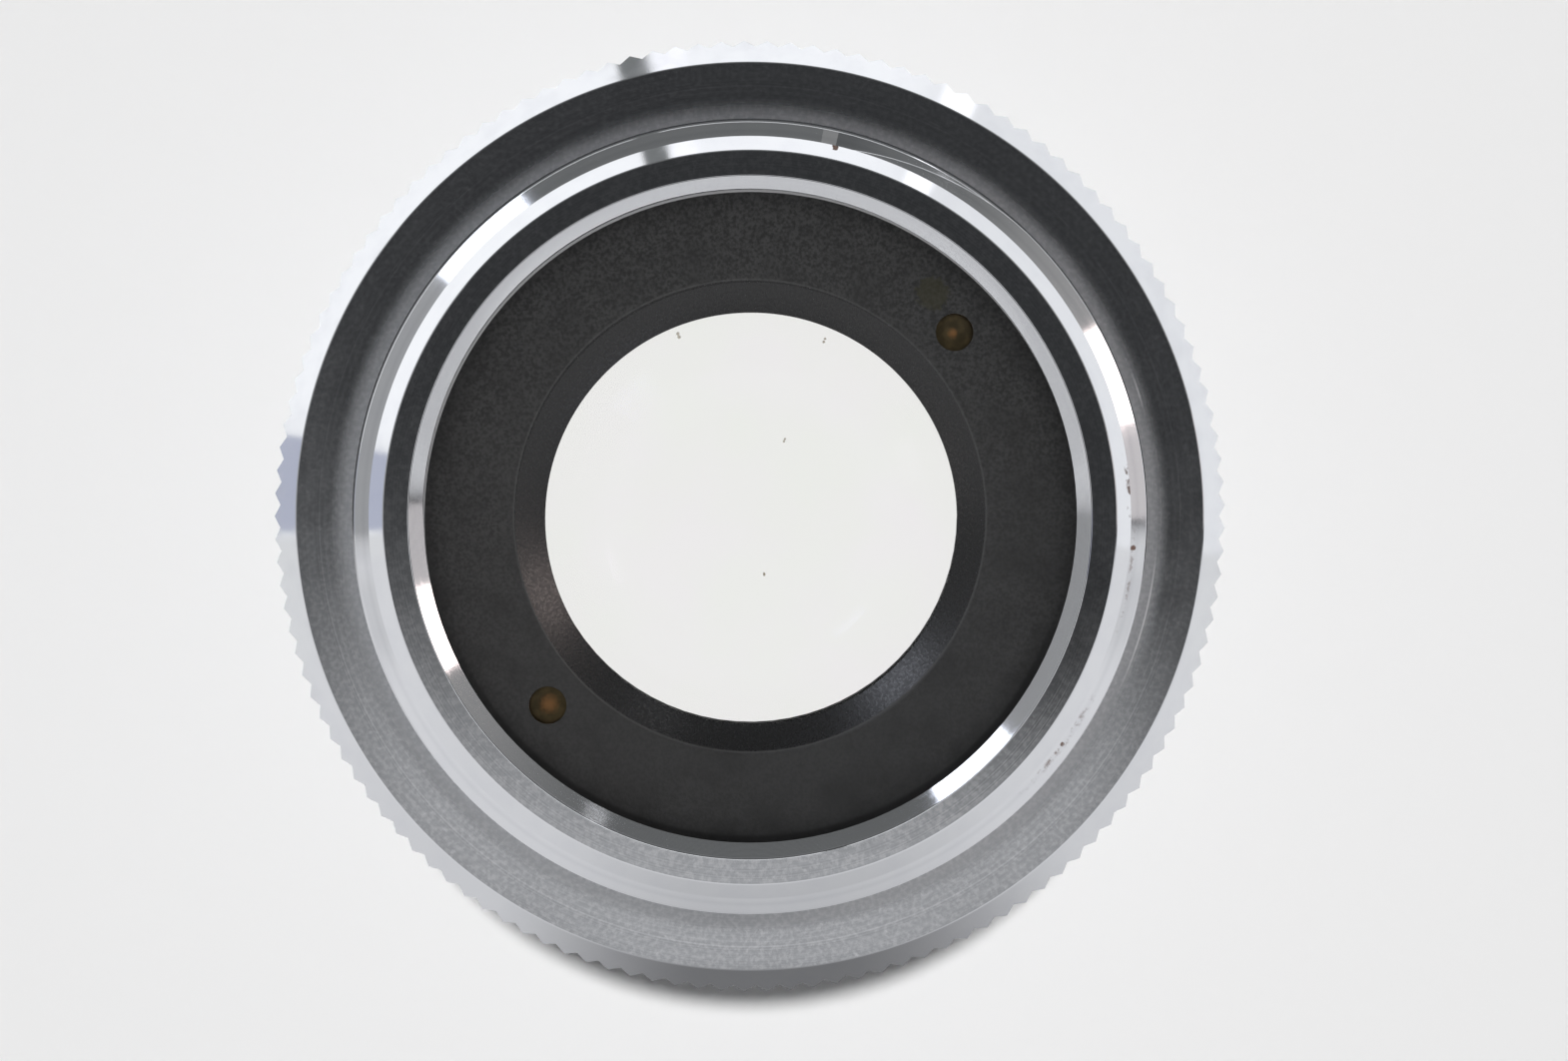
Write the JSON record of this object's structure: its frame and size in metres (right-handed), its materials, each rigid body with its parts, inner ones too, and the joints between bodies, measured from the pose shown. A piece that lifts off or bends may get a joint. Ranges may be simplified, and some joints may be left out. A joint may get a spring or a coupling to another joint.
{
  "type": "microscope objective",
  "caption": "Low power microscope objective with a standard object thread, a knurled flange, a chromed barrel and cemented lens groups held by black spanner rings.",
  "frame": {"origin": "centre of the mounting shoulder, on the optical axis", "axes": "+Z along the optical axis from the nose towards the object thread; +X to the right and +Y up when the thread end is looked at as in the picture"},
  "size_m": [0.025, 0.025, 0.0318],
  "materials": {
    "chrome_shell": "bright and satin chrome over brass",
    "black_paint": "matt black optical paint over brass",
    "brass_washers": "plain turned brass",
    "lens_glass": "polished and coated optical glass",
    "band_colour": "smooth red plastic",
    "screw_steel": "plain steel"
  },
  "bodies": {
    "root": {"mount_body": "chrome_shell", "outer_sleeve": "chrome_shell", "nose_cone": "chrome_shell", "rear_retaining_ring": "black_paint", "rear_cell": "black_paint", "rear_lens_ring": "black_paint", "lens_tube": "black_paint", "aperture_stop": "black_paint", "stop_ring": "black_paint", "front_cell": "black_paint", "front_lens_ring": "black_paint", "front_retaining_ring": "black_paint", "parfocal_shims": "brass_washers", "front_spacer": "brass_washers", "rear_crown": "lens_glass", "rear_flint": "lens_glass", "front_crown": "lens_glass", "front_flint": "lens_glass", "colour_band": "band_colour", "sleeve_screws": "screw_steel"}
  },
  "joints": []
}
